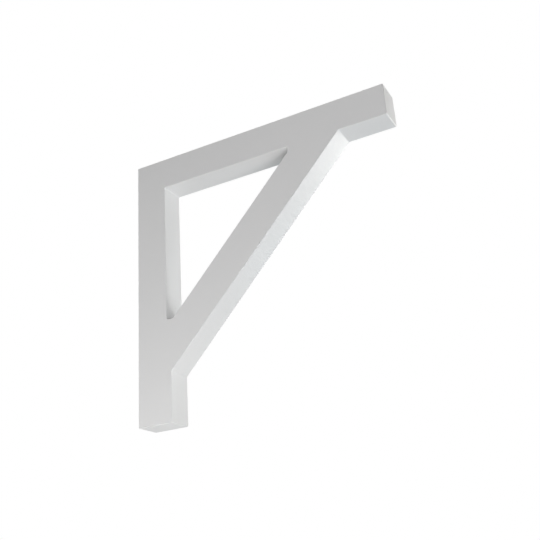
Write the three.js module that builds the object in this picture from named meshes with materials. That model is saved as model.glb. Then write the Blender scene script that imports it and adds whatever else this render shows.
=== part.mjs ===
// Decorative porch bracket: an upright leg against the wall, a level arm under the eave and a
// diagonal brace between them, moulded in one piece of one thickness with a three-sided opening.
// Millimetres, +Z up, +X out from the wall. The origin is the middle of the face against the wall.

import * as THREE from 'three';

// Overall sizes
const HEIGHT = 914;
const PROJECTION = 914;
const THICKNESS = 89;

// The leg, the arm and the foot that the brace springs from
const ARM_DEPTH = 108;
const LEG_DEPTH = 110;
const FOOT_DEPTH = 124;

// The brace: where its lower face meets the arm and the foot, and how deep it is square to its run
const BRACE_REACH = 755;
const BRACE_DROP = 755;
const BRACE_DEPTH = 113;

// The upright and the level flat that blunt the two sharp corners of the opening
const TIP_FLAT = 20;
const HEEL_FLAT = 24;

// Rounding of the profile's outer and inner corners and of the rims of both side faces. The rims
// draw each side face in by their own radius, so the corners' radii are larger than the rims'.
const CORNER_RADIUS = 3;
const FILLET_RADIUS = 6;
const RIM_RADIUS = 2;
const ARC_STEPS = 3;
const RIM_STEPS = 3;

const WHITE_PLASTIC = { color: 0xe9eaea, roughness: 0.5, metalness: 0 };

const TOP = HEIGHT / 2;
const BOTTOM = -HEIGHT / 2;
const ARM_UNDERSIDE = TOP - ARM_DEPTH;

function corner(x, z, radius) {
  return { at: new THREE.Vector2(x, z), radius };
}

// The brace's lower face, seen from the side, as a start, a direction up the run and a normal
// that points into the opening.
function braceLine() {
  const knee = new THREE.Vector2(FOOT_DEPTH, TOP - BRACE_DROP);
  const shoulder = new THREE.Vector2(BRACE_REACH, ARM_UNDERSIDE);
  const along = shoulder.clone().sub(knee).normalize();
  const inward = new THREE.Vector2(-along.y, along.x);
  return { knee, shoulder, along, inward };
}

function silhouetteCorners() {
  const { knee, shoulder } = braceLine();
  return [
    corner(0, BOTTOM, CORNER_RADIUS),
    corner(FOOT_DEPTH, BOTTOM, CORNER_RADIUS),
    corner(knee.x, knee.y, FILLET_RADIUS),
    corner(shoulder.x, shoulder.y, FILLET_RADIUS),
    corner(PROJECTION, ARM_UNDERSIDE, CORNER_RADIUS),
    corner(PROJECTION, TOP, CORNER_RADIUS),
    corner(0, TOP, CORNER_RADIUS),
  ];
}

// The opening lies between the leg, the arm and the brace's upper face. Its two sharp corners end
// in flats: one upright under the arm, one level beside the leg.
function openingCorners() {
  const { shoulder, along, inward } = braceLine();
  const onUpperFace = shoulder.clone().addScaledVector(inward, BRACE_DEPTH);
  const rise = along.y / along.x;
  const heightAt = (x) => onUpperFace.y + (x - onUpperFace.x) * rise;
  const reachAt = (z) => onUpperFace.x + (z - onUpperFace.y) / rise;
  const tipBottom = ARM_UNDERSIDE - TIP_FLAT;
  const tipReach = reachAt(tipBottom);
  const heelFront = LEG_DEPTH + HEEL_FLAT;
  const heelLevel = heightAt(heelFront);
  return [
    corner(LEG_DEPTH, ARM_UNDERSIDE, FILLET_RADIUS),
    corner(LEG_DEPTH, heelLevel, FILLET_RADIUS),
    corner(heelFront, heelLevel, FILLET_RADIUS),
    corner(tipReach, tipBottom, FILLET_RADIUS),
    corner(tipReach, ARM_UNDERSIDE, FILLET_RADIUS),
  ];
}

// Draws straight runs joined by an arc that touches both neighbours of each corner.
function drawRounded(path, corners) {
  const count = corners.length;
  corners.forEach(({ at, radius }, index) => {
    const before = corners[(index + count - 1) % count].at;
    const after = corners[(index + 1) % count].at;
    const back = before.clone().sub(at).normalize();
    const ahead = after.clone().sub(at).normalize();
    const halfAngle = Math.acos(back.dot(ahead)) / 2;
    const reach = radius / Math.tan(halfAngle);
    const start = at.clone().addScaledVector(back, reach);
    const end = at.clone().addScaledVector(ahead, reach);
    const middle = back.clone().add(ahead).normalize();
    const centre = at.clone().addScaledVector(middle, radius / Math.sin(halfAngle));
    const from = start.clone().sub(centre).angle();
    const to = end.clone().sub(centre).angle();
    const clockwise = back.cross(ahead) > 0;
    if (index === 0) {
      path.moveTo(start.x, start.y);
    } else {
      path.lineTo(start.x, start.y);
    }
    path.absarc(centre.x, centre.y, radius, from, to, clockwise);
  });
  path.closePath();
  return path;
}

// Extrudes the profile through the thickness, with both rims rounded inside the stated sizes.
function bracketGeometry() {
  const profile = drawRounded(new THREE.Shape(), silhouetteCorners());
  profile.holes.push(drawRounded(new THREE.Path(), openingCorners()));
  const geometry = new THREE.ExtrudeGeometry(profile, {
    depth: THICKNESS - 2 * RIM_RADIUS,
    curveSegments: ARC_STEPS,
    bevelEnabled: true,
    bevelThickness: RIM_RADIUS,
    bevelSize: RIM_RADIUS,
    bevelOffset: -RIM_RADIUS,
    bevelSegments: RIM_STEPS,
  });
  geometry.translate(0, 0, RIM_RADIUS - THICKNESS / 2);
  geometry.rotateX(Math.PI / 2);
  return geometry;
}

const bracket = new THREE.Mesh(bracketGeometry(), new THREE.MeshStandardMaterial(WHITE_PLASTIC));
bracket.name = 'bracket';

const model = new THREE.Group();
model.add(bracket);

export default model;
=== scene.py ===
"""A plain white moulded porch bracket, finished and lit as in a maker's catalogue.

The leg, the arm, the foot and the diagonal brace are one moulding of one thickness, with a
three-sided opening. The side panel of the 3D view lists the sizes, the finish and the stage.
"""
import math
from typing import NamedTuple

import bpy
from bpy.props import FloatProperty, FloatVectorProperty, IntProperty, PointerProperty
from bpy.types import Operator, Panel, PropertyGroup
from mathutils import Matrix, Vector
from mathutils.geometry import tessellate_polygon


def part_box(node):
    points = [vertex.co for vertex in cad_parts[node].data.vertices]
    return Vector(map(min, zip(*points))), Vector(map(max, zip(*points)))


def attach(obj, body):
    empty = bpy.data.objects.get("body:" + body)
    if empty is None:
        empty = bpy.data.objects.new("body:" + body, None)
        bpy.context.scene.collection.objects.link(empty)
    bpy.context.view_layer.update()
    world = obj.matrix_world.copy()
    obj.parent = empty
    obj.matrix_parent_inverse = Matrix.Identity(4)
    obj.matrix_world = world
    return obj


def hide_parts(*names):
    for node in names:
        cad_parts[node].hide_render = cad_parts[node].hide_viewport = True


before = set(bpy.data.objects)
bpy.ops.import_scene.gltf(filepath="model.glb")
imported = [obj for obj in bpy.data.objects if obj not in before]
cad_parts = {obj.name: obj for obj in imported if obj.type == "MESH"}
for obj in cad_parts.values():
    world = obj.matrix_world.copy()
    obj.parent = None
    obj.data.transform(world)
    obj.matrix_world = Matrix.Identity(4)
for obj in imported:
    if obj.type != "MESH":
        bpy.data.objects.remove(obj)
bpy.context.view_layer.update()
SOLID_LOW, SOLID_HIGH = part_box("bracket")
SOLID_SIZE = SOLID_HIGH - SOLID_LOW

bl_info = {
    "name": "Porch bracket",
    "version": (1, 0, 0),
    "blender": (4, 5, 0),
    "location": "View3D > Sidebar > Bracket",
    "description": "Builds a plain white moulded porch bracket and the stage it is pictured on",
    "category": "Object",
}


WHITE = (1.0, 1.0, 1.0)
PLASTIC_IOR = 1.46
NOISE_MIDDLE = 0.5
SENSOR_WIDTH_MM = 36.0
FLOOR_ROUGHNESS = 0.9
# Shares of the floor's half width: its glow is even up to the first, and from there it fades into the
# surround's white at the second.
GLOW_EVEN_WITHIN = 0.2
GLOW_FADED_AT = 0.95


def length(name, description, default):
    """A size in metres that the side panel shows."""
    return FloatProperty(name=name, description=description, default=default, min=0.0, unit="LENGTH")


def paint(name, description, default):
    """A colour that the side panel shows."""
    return FloatVectorProperty(
        name=name, description=description, default=default, subtype="COLOR", size=3, min=0.0, max=1.0)


def camera_angle(name, description, degrees):
    """An angle of the camera that the side panel shows."""
    return FloatProperty(name=name, description=description, default=math.radians(degrees), subtype="ANGLE")


class BracketSizes(PropertyGroup):
    """The moulding's sizes, in metres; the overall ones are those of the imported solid."""

    height: length("Height", "From the foot's end to the top of the arm", SOLID_SIZE.z)
    projection: length("Projection", "From the wall to the arm's end", SOLID_SIZE.x)
    thickness: length("Thickness", "From one side face to the other", SOLID_SIZE.y)
    arm_depth: length("Arm depth", "Top to underside of the level arm", 0.108)
    leg_depth: length("Leg depth", "Wall to front of the leg, beside the opening", 0.110)
    foot_depth: length("Foot depth", "Wall to front of the foot, below the brace", 0.124)
    brace_reach: length("Brace reach", "Wall to where the brace's lower face meets the arm", 0.755)
    brace_drop: length("Brace drop", "Top down to where the brace's lower face meets the foot", 0.755)
    brace_depth: length("Brace depth", "Lower to upper face of the brace, square to its run", 0.113)
    tip_flat: length("Tip flat", "Upright flat that blunts the opening's outer corner", 0.020)
    heel_flat: length("Heel flat", "Level flat that blunts the opening's lower corner", 0.024)
    corner_radius: length("Corner radius", "Rounding of the profile's outer corners", 0.003)
    fillet_radius: length("Fillet radius", "Rounding of the profile's inner corners", 0.006)
    rim_radius: length("Rim radius", "Rounding of the rims of both side faces", 0.002)
    arc_steps: IntProperty(name="Arc steps", description="Steps in each rounded corner", default=12, min=2)
    rim_steps: IntProperty(name="Rim steps", description="Steps in each rounded rim", default=6, min=2)


class BracketFinish(PropertyGroup):
    """The look of the moulded plastic."""

    colour: paint("Colour", "The plastic's white", (0.80, 0.80, 0.80))
    shade: paint("Shade", "The slightly duller white of its cloudy patches", (0.76, 0.762, 0.765))
    roughness: FloatProperty(
        name="Roughness", description="Middle roughness of the satin skin",
        default=0.42, min=0.0, max=1.0)
    sheen_spread: FloatProperty(
        name="Sheen spread", description="How far the roughness wanders from its middle",
        default=0.2, min=0.0)
    cloud_size: length("Cloud size", "Width of the cloudy patches", 0.18)
    ripple_size: length("Ripple size", "Width of the skin's slow ripples", 0.03)
    ripple_depth: length("Ripple depth", "Height of the skin's slow ripples", 0.0005)
    pebble_size: length("Pebble size", "Width of the skin's fine pebbling", 0.0025)
    pebble_depth: length("Pebble depth", "Height of the skin's fine pebbling", 0.00018)


class StageSettings(PropertyGroup):
    """The floor, the white surround and the camera."""

    floor_drop: length("Floor drop", "From the bracket's foot down to the floor", 2.0)
    floor_width: length("Floor width", "Side of the square floor", 16.0)
    floor_paint: paint("Floor paint", "What the floor gives back of the lamps' light", (0.20, 0.20, 0.20))
    floor_glow: paint("Floor glow", "Even glow of the floor below the bracket", (0.76, 0.76, 0.755))
    surround: paint("Surround", "The white seen behind the bracket", WHITE)
    ambient: FloatProperty(
        name="Ambient", description="Strength of the even light from all round", default=0.15, min=0.0)
    lens: FloatProperty(
        name="Lens", description="Focal length in millimetres", default=53.78, min=1.0, unit="CAMERA")
    camera_out: length("Camera out", "Camera's distance from the wall", 1.488)
    camera_aside: length("Camera aside", "Camera's distance to the side of the bracket's middle", 2.054)
    camera_below: length("Camera below", "Camera's distance below the bracket's middle", 0.9896)
    camera_turn: camera_angle("Camera turn", "Turn about the upright axis", 26.458)
    camera_tilt: camera_angle("Camera tilt", "Upward tilt", 22.674)
    camera_roll: camera_angle("Camera roll", "Roll about the line of sight", -4.058)


class Wire:
    """An output socket; arithmetic on it adds Math nodes to its tree."""

    def __init__(self, sheet, socket):
        self.sheet = sheet
        self.socket = socket

    def _math(self, operation, first, second):
        return self.sheet.node("ShaderNodeMath", {"operation": operation}, {0: first, 1: second})["Value"]

    def __add__(self, other):
        return self._math("ADD", self, other)

    def __radd__(self, other):
        return self._math("ADD", other, self)

    def __sub__(self, other):
        return self._math("SUBTRACT", self, other)

    def __rsub__(self, other):
        return self._math("SUBTRACT", other, self)

    def __mul__(self, other):
        return self._math("MULTIPLY", self, other)

    def __rmul__(self, other):
        return self._math("MULTIPLY", other, self)


class Sheet:
    """The node tree of one material or world, emptied and filled by code."""

    # The Mix node names the sockets of all its kinds alike, so its two colours go by number.
    MIX_FIRST_COLOUR = 6
    MIX_SECOND_COLOUR = 7

    def __init__(self, owner):
        owner.use_nodes = True
        self.tree = owner.node_tree
        self.tree.nodes.clear()

    def node(self, kind, settings=None, sockets=None):
        """Adds a node: its settings first, then the value or link of each socket named or numbered."""
        made = self.tree.nodes.new(kind)
        for name, value in (settings or {}).items():
            if name == "stops":
                self._set_stops(made.color_ramp, value)
            else:
                setattr(made, name, value)
        for key, value in (sockets or {}).items():
            if isinstance(value, Wire):
                self.tree.links.new(value.socket, made.inputs[key])
            else:
                made.inputs[key].default_value = value
        return {socket.name: Wire(self, socket) for socket in made.outputs if socket.enabled}

    @staticmethod
    def _set_stops(ramp, stops):
        while len(ramp.elements) < len(stops):
            ramp.elements.new(1.0)
        for element, (position, colour) in zip(ramp.elements, stops):
            element.position = position
            element.color = colour

    def mix(self, share, first, second):
        """Blends two colours by share."""
        return self.node("ShaderNodeMix", {"data_type": "RGBA", "blend_type": "MIX"}, {
            "Factor": share, self.MIX_FIRST_COLOUR: first, self.MIX_SECOND_COLOUR: second})["Result"]

    def noise(self, place, width, detail):
        """Noise from 0 to 1 whose patches are about width metres across."""
        return self.node("ShaderNodeTexNoise", {"noise_dimensions": "3D"}, {
            "Vector": place, "Scale": 1.0 / width, "Detail": detail})["Fac"]


def opaque(colour):
    """The colour with full opacity, as colour sockets take it."""
    return (*colour, 1.0)


def white_plastic(finish):
    """Satin white plastic: faint clouds in its colour and sheen, slow ripples and a fine pebbled skin."""
    material = bpy.data.materials.new("satin_white_plastic")
    sheet = Sheet(material)
    place = sheet.node("ShaderNodeTexCoord")["Object"]
    clouds = sheet.noise(place, finish.cloud_size, detail=3.0)
    ripples = sheet.noise(place, finish.ripple_size, detail=2.0)
    pebbles = sheet.noise(place, finish.pebble_size, detail=1.0)
    colour = sheet.mix(clouds, opaque(finish.colour), opaque(finish.shade))
    broad_sheen = (clouds - NOISE_MIDDLE) * finish.sheen_spread
    fine_sheen = (pebbles - NOISE_MIDDLE) * finish.sheen_spread
    roughness = finish.roughness + broad_sheen + fine_sheen
    relief = ripples * finish.ripple_depth + pebbles * finish.pebble_depth
    normal = sheet.node("ShaderNodeBump", None, {
        "Strength": 1.0, "Distance": 1.0, "Height": relief})["Normal"]
    shader = sheet.node("ShaderNodeBsdfPrincipled", None, {
        "Base Color": colour, "Roughness": roughness, "IOR": PLASTIC_IOR, "Normal": normal})["BSDF"]
    sheet.node("ShaderNodeOutputMaterial", None, {"Surface": shader})
    return material


def silhouette(sizes):
    """The bracket's outline from the side, solid on the left: points in X and Z with a radius each."""
    top = sizes.height / 2
    underside = top - sizes.arm_depth
    round_out = sizes.corner_radius
    round_in = sizes.fillet_radius
    return [
        (Vector((0.0, -top)), round_out),
        (Vector((sizes.foot_depth, -top)), round_out),
        (Vector((sizes.foot_depth, top - sizes.brace_drop)), round_in),
        (Vector((sizes.brace_reach, underside)), round_in),
        (Vector((sizes.projection, underside)), round_out),
        (Vector((sizes.projection, top)), round_out),
        (Vector((0.0, top)), round_out),
    ]


def opening(sizes):
    """The three-sided opening, solid on the left, with a flat across each of its two sharp corners."""
    top = sizes.height / 2
    underside = top - sizes.arm_depth
    knee = Vector((sizes.foot_depth, top - sizes.brace_drop))
    shoulder = Vector((sizes.brace_reach, underside))
    run = (shoulder - knee).normalized()
    upper = shoulder + Vector((-run.y, run.x)) * sizes.brace_depth
    rise = run.y / run.x
    tip_low = underside - sizes.tip_flat
    tip_reach = upper.x + (tip_low - upper.y) / rise
    heel_front = sizes.leg_depth + sizes.heel_flat
    heel_level = upper.y + (heel_front - upper.x) * rise
    corners = [
        (sizes.leg_depth, underside),
        (tip_reach, underside),
        (tip_reach, tip_low),
        (heel_front, heel_level),
        (sizes.leg_depth, heel_level),
    ]
    return [(Vector(place), sizes.fillet_radius) for place in corners]


def rounded_loop(corners, inset, steps):
    """Points and outward normals round an outline that is moved into the solid by inset."""
    points = []
    for index, (at, radius) in enumerate(corners):
        arriving = (at - corners[index - 1][0]).normalized()
        leaving = (corners[(index + 1) % len(corners)][0] - at).normalized()
        turn = math.atan2(arriving.x * leaving.y - arriving.y * leaving.x, arriving.dot(leaving))
        signed_radius = math.copysign(radius, turn)
        first = math.atan2(-arriving.x, arriving.y)
        outward = Vector((math.cos(first + turn / 2), math.sin(first + turn / 2)))
        centre = at - outward * (signed_radius / math.cos(turn / 2))
        for step in range(steps + 1):
            angle = first + turn * step / steps
            normal = Vector((math.cos(angle), math.sin(angle)))
            points.append((centre + normal * (signed_radius - inset), normal))
    return points


def rim_stations(sizes):
    """From the near side face to the far one: which side, and the angle turned round its rim."""
    angles = [math.pi / 2 * step / sizes.rim_steps for step in range(sizes.rim_steps + 1)]
    return [(-1, angle) for angle in angles] + [(1, angle) for angle in reversed(angles)]


class Shell:
    """The moulding's skin while it is put together: points, their normals and faces."""

    def __init__(self):
        self.points = []
        self.normals = []
        self.faces = []

    def add_wall(self, corners, sizes):
        """Lofts one outline through the thickness, round both rims; gives its rings on the side faces."""
        start = len(self.points)
        for side, angle in rim_stations(sizes):
            inset = sizes.rim_radius * (1 - math.sin(angle))
            across = side * (sizes.thickness / 2 - sizes.rim_radius * (1 - math.cos(angle)))
            ring = rounded_loop(corners, inset, sizes.arc_steps)
            for place, normal in ring:
                turned = normal * math.sin(angle)
                self.points.append((place.x, across, place.y))
                self.normals.append((turned.x, side * math.cos(angle), turned.y))
        count = len(ring)
        last = len(self.points) - count
        for near in range(start, last, count):
            far = near + count
            for index in range(count):
                following = (index + 1) % count
                self.faces.append((near + index, far + index, far + following, near + following))
        return range(start, start + count), range(last, last + count)

    def close_side(self, rings, flipped=False):
        """Fills a side face between the bracket's outline and the opening's."""
        order = [index for ring in rings for index in ring]
        outlines = [[Vector(self.points[index]) for index in ring] for ring in rings]
        for triangle in tessellate_polygon(outlines):
            face = [order[corner] for corner in triangle]
            self.faces.append(face[::-1] if flipped else face)

    def mesh(self, name):
        """The finished skin as a mesh, shaded smooth with the normals of its points."""
        made = bpy.data.meshes.new(name)
        made.from_pydata(self.points, [], self.faces)
        made.validate()
        made.shade_smooth()
        made.normals_split_custom_set_from_vertices(self.normals)
        return made


def moulding_mesh(sizes):
    """The bracket's whole skin, with rounded corners and rims."""
    shell = Shell()
    walls = [shell.add_wall(corners, sizes) for corners in (silhouette(sizes), opening(sizes))]
    near_rings, far_rings = zip(*walls)
    shell.close_side(near_rings)
    shell.close_side(far_rings, flipped=True)
    return shell.mesh("bracket_moulding")


class BRACKET_OT_moulding(Operator):
    """Build the bracket's moulding, with its rounded rims and satin skin"""

    bl_idname = "bracket.moulding"
    bl_label = "Bracket Moulding"
    bl_options = {"REGISTER", "UNDO"}

    def execute(self, context):
        scene = context.scene
        mesh = moulding_mesh(scene.bracket_sizes)
        mesh.materials.append(white_plastic(scene.bracket_finish))
        moulding = bpy.data.objects.new("bracket_moulding", mesh)
        scene.collection.objects.link(moulding)
        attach(moulding, "root")
        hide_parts("bracket")
        return {"FINISHED"}


def pale_floor(stage):
    """A pale floor well below the bracket: a light table that fades outward into the white surround.

    Only the camera sees it: it neither lights the bracket nor mirrors in it.
    """
    half = stage.floor_width / 2
    middle = (SOLID_LOW + SOLID_HIGH) / 2
    below = Vector((middle.x, middle.y, SOLID_LOW.z - stage.floor_drop))
    corners = [below + Vector((x, y, 0.0)) * half for x, y in ((-1, -1), (1, -1), (1, 1), (-1, 1))]
    mesh = bpy.data.meshes.new("floor")
    mesh.from_pydata(corners, [], [(0, 1, 2, 3)])
    material = bpy.data.materials.new("light_table")
    sheet = Sheet(material)
    place = sheet.node("ShaderNodeTexCoord")["Object"]
    away = sheet.node("ShaderNodeVectorMath", {"operation": "DISTANCE"}, {0: place, 1: below})["Value"]
    stops = ((GLOW_EVEN_WITHIN, opaque(stage.floor_glow)), (GLOW_FADED_AT, opaque(stage.surround)))
    glow = sheet.node("ShaderNodeValToRGB", {"stops": stops}, {"Fac": away * (1.0 / half)})["Color"]
    shader = sheet.node("ShaderNodeBsdfPrincipled", None, {
        "Base Color": opaque(stage.floor_paint), "Roughness": FLOOR_ROUGHNESS,
        "Emission Color": glow, "Emission Strength": 1.0})["BSDF"]
    sheet.node("ShaderNodeOutputMaterial", None, {"Surface": shader})
    mesh.materials.append(material)
    floor = bpy.data.objects.new("floor", mesh)
    floor.visible_diffuse = False
    floor.visible_glossy = False
    return floor


def white_surround(stage):
    """An even light from all round, which the camera sees as plain white."""
    world = bpy.data.worlds.new("surround")
    sheet = Sheet(world)
    seen = sheet.node("ShaderNodeLightPath")["Is Camera Ray"]
    strength = stage.ambient + seen * (1.0 - stage.ambient)
    light = sheet.node("ShaderNodeBackground", None, {
        "Color": opaque(stage.surround), "Strength": strength})["Background"]
    sheet.node("ShaderNodeOutputWorld", None, {"Surface": light})
    return world


class Softbox(NamedTuple):
    """A square soft light: where it stands round its aim, its width, its power and its colour.

    Angles are in degrees, sizes in metres and the power in watts. Azimuth 0 stands in front of the near
    side face and 90 in front of the arm's end. The usual aim is near the bracket's middle.
    """

    azimuth: float
    elevation: float
    distance: float
    width: float
    power: float
    colour: tuple = WHITE
    aim: tuple = (0.4, 0.0, 0.0)


# The keys set the tone of each face that the camera sees, and the fills light the others.
SOFTBOXES = {
    "key_low": Softbox(10.0, -58.0, 2.1, 1.2, 26.8, (1.0, 0.99, 0.99)),
    "key_leg": Softbox(-30.0, -40.0, 2.1, 1.2, 5.5, (0.99, 1.0, 0.97)),
    "key_side": Softbox(30.0, 25.0, 2.2, 1.2, 7.9, (1.0, 0.99, 0.995)),
    "key_far": Softbox(135.0, 5.0, 1.8, 1.0, 18.0, (0.988, 1.0, 0.98)),
    "key_tip": Softbox(110.0, 0.0, 1.3, 0.8, 4.8, (1.0, 0.98, 0.96), (0.7, 0.0, 0.3)),
    "key_foot": Softbox(180.0, -60.0, 0.8, 0.6, 1.8, (0.95, 1.0, 0.98), (0.06, 0.0, -0.457)),
    "key_arm": Softbox(180.0, -60.0, 0.8, 0.4, 0.38, (0.46, 0.78, 1.0), (0.85, 0.0, 0.349)),
    "fill_wall": Softbox(285.0, 15.0, 2.8, 2.0, 24.0),
    "fill_back": Softbox(205.0, 25.0, 2.8, 2.0, 12.0),
    "fill_top": Softbox(0.0, 89.0, 2.6, 2.0, 25.0),
}


def softbox(name, box):
    """An area light that the camera doesn't see, turned to the bracket."""
    azimuth = math.radians(box.azimuth)
    elevation = math.radians(box.elevation)
    level = math.cos(elevation)
    away = Vector((math.sin(azimuth) * level, -math.cos(azimuth) * level, math.sin(elevation)))
    lamp = bpy.data.lights.new(name, "AREA")
    lamp.shape = "SQUARE"
    lamp.size = box.width
    lamp.energy = box.power
    lamp.color = box.colour
    light = bpy.data.objects.new(name, lamp)
    light.location = Vector(box.aim) + away * box.distance
    light.rotation_euler = away.to_track_quat("Z", "Y").to_euler()
    light.visible_camera = False
    return light


def stand_camera(stage):
    """The camera below and beside the bracket, looking up at it."""
    camera = bpy.data.objects.new("camera", bpy.data.cameras.new("camera"))
    camera.data.lens = stage.lens
    camera.data.sensor_width = SENSOR_WIDTH_MM
    turn = Matrix.Rotation(stage.camera_turn, 4, "Z")
    tilt = Matrix.Rotation(math.pi / 2 + stage.camera_tilt, 4, "X")
    roll = Matrix.Rotation(stage.camera_roll, 4, "Z")
    place = Matrix.Translation((stage.camera_out, -stage.camera_aside, -stage.camera_below))
    camera.matrix_world = place @ turn @ tilt @ roll
    return camera


class BRACKET_OT_stage(Operator):
    """Build the pale floor, the white surround, the soft lights and the camera"""

    bl_idname = "bracket.stage"
    bl_label = "Bracket Stage"
    bl_options = {"REGISTER", "UNDO"}

    def execute(self, context):
        scene = context.scene
        stage = scene.bracket_stage
        floor = pale_floor(stage)
        scene.collection.objects.link(floor)
        scene.world = white_surround(stage)
        for name, box in SOFTBOXES.items():
            scene.collection.objects.link(softbox(name, box))
        camera = stand_camera(stage)
        scene.collection.objects.link(camera)
        scene.camera = camera
        scene.view_settings.view_transform = "Standard"
        return {"FINISHED"}


class BRACKET_PT_panel(Panel):
    """The bracket's sizes, finish and stage, with a button for each thing to build"""

    bl_idname = "BRACKET_PT_panel"
    bl_label = "Porch Bracket"
    bl_space_type = "VIEW_3D"
    bl_region_type = "UI"
    bl_category = "Bracket"

    def draw(self, context):
        scene = context.scene
        for settings, operator in (
            (scene.bracket_sizes, None),
            (scene.bracket_finish, BRACKET_OT_moulding),
            (scene.bracket_stage, BRACKET_OT_stage),
        ):
            column = self.layout.column(align=True)
            for name in settings.__annotations__:
                column.prop(settings, name)
            if operator:
                column.operator(operator.bl_idname)


CLASSES = (
    BracketSizes,
    BracketFinish,
    StageSettings,
    BRACKET_OT_moulding,
    BRACKET_OT_stage,
    BRACKET_PT_panel,
)
SETTINGS = {
    "bracket_sizes": BracketSizes,
    "bracket_finish": BracketFinish,
    "bracket_stage": StageSettings,
}


def register():
    for cls in CLASSES:
        bpy.utils.register_class(cls)
    for name, group in SETTINGS.items():
        setattr(bpy.types.Scene, name, PointerProperty(type=group))


def unregister():
    for name in SETTINGS:
        delattr(bpy.types.Scene, name)
    for cls in reversed(CLASSES):
        bpy.utils.unregister_class(cls)


def main():
    register()
    bpy.ops.bracket.moulding()
    bpy.ops.bracket.stage()


if __name__ == "__main__":
    main()
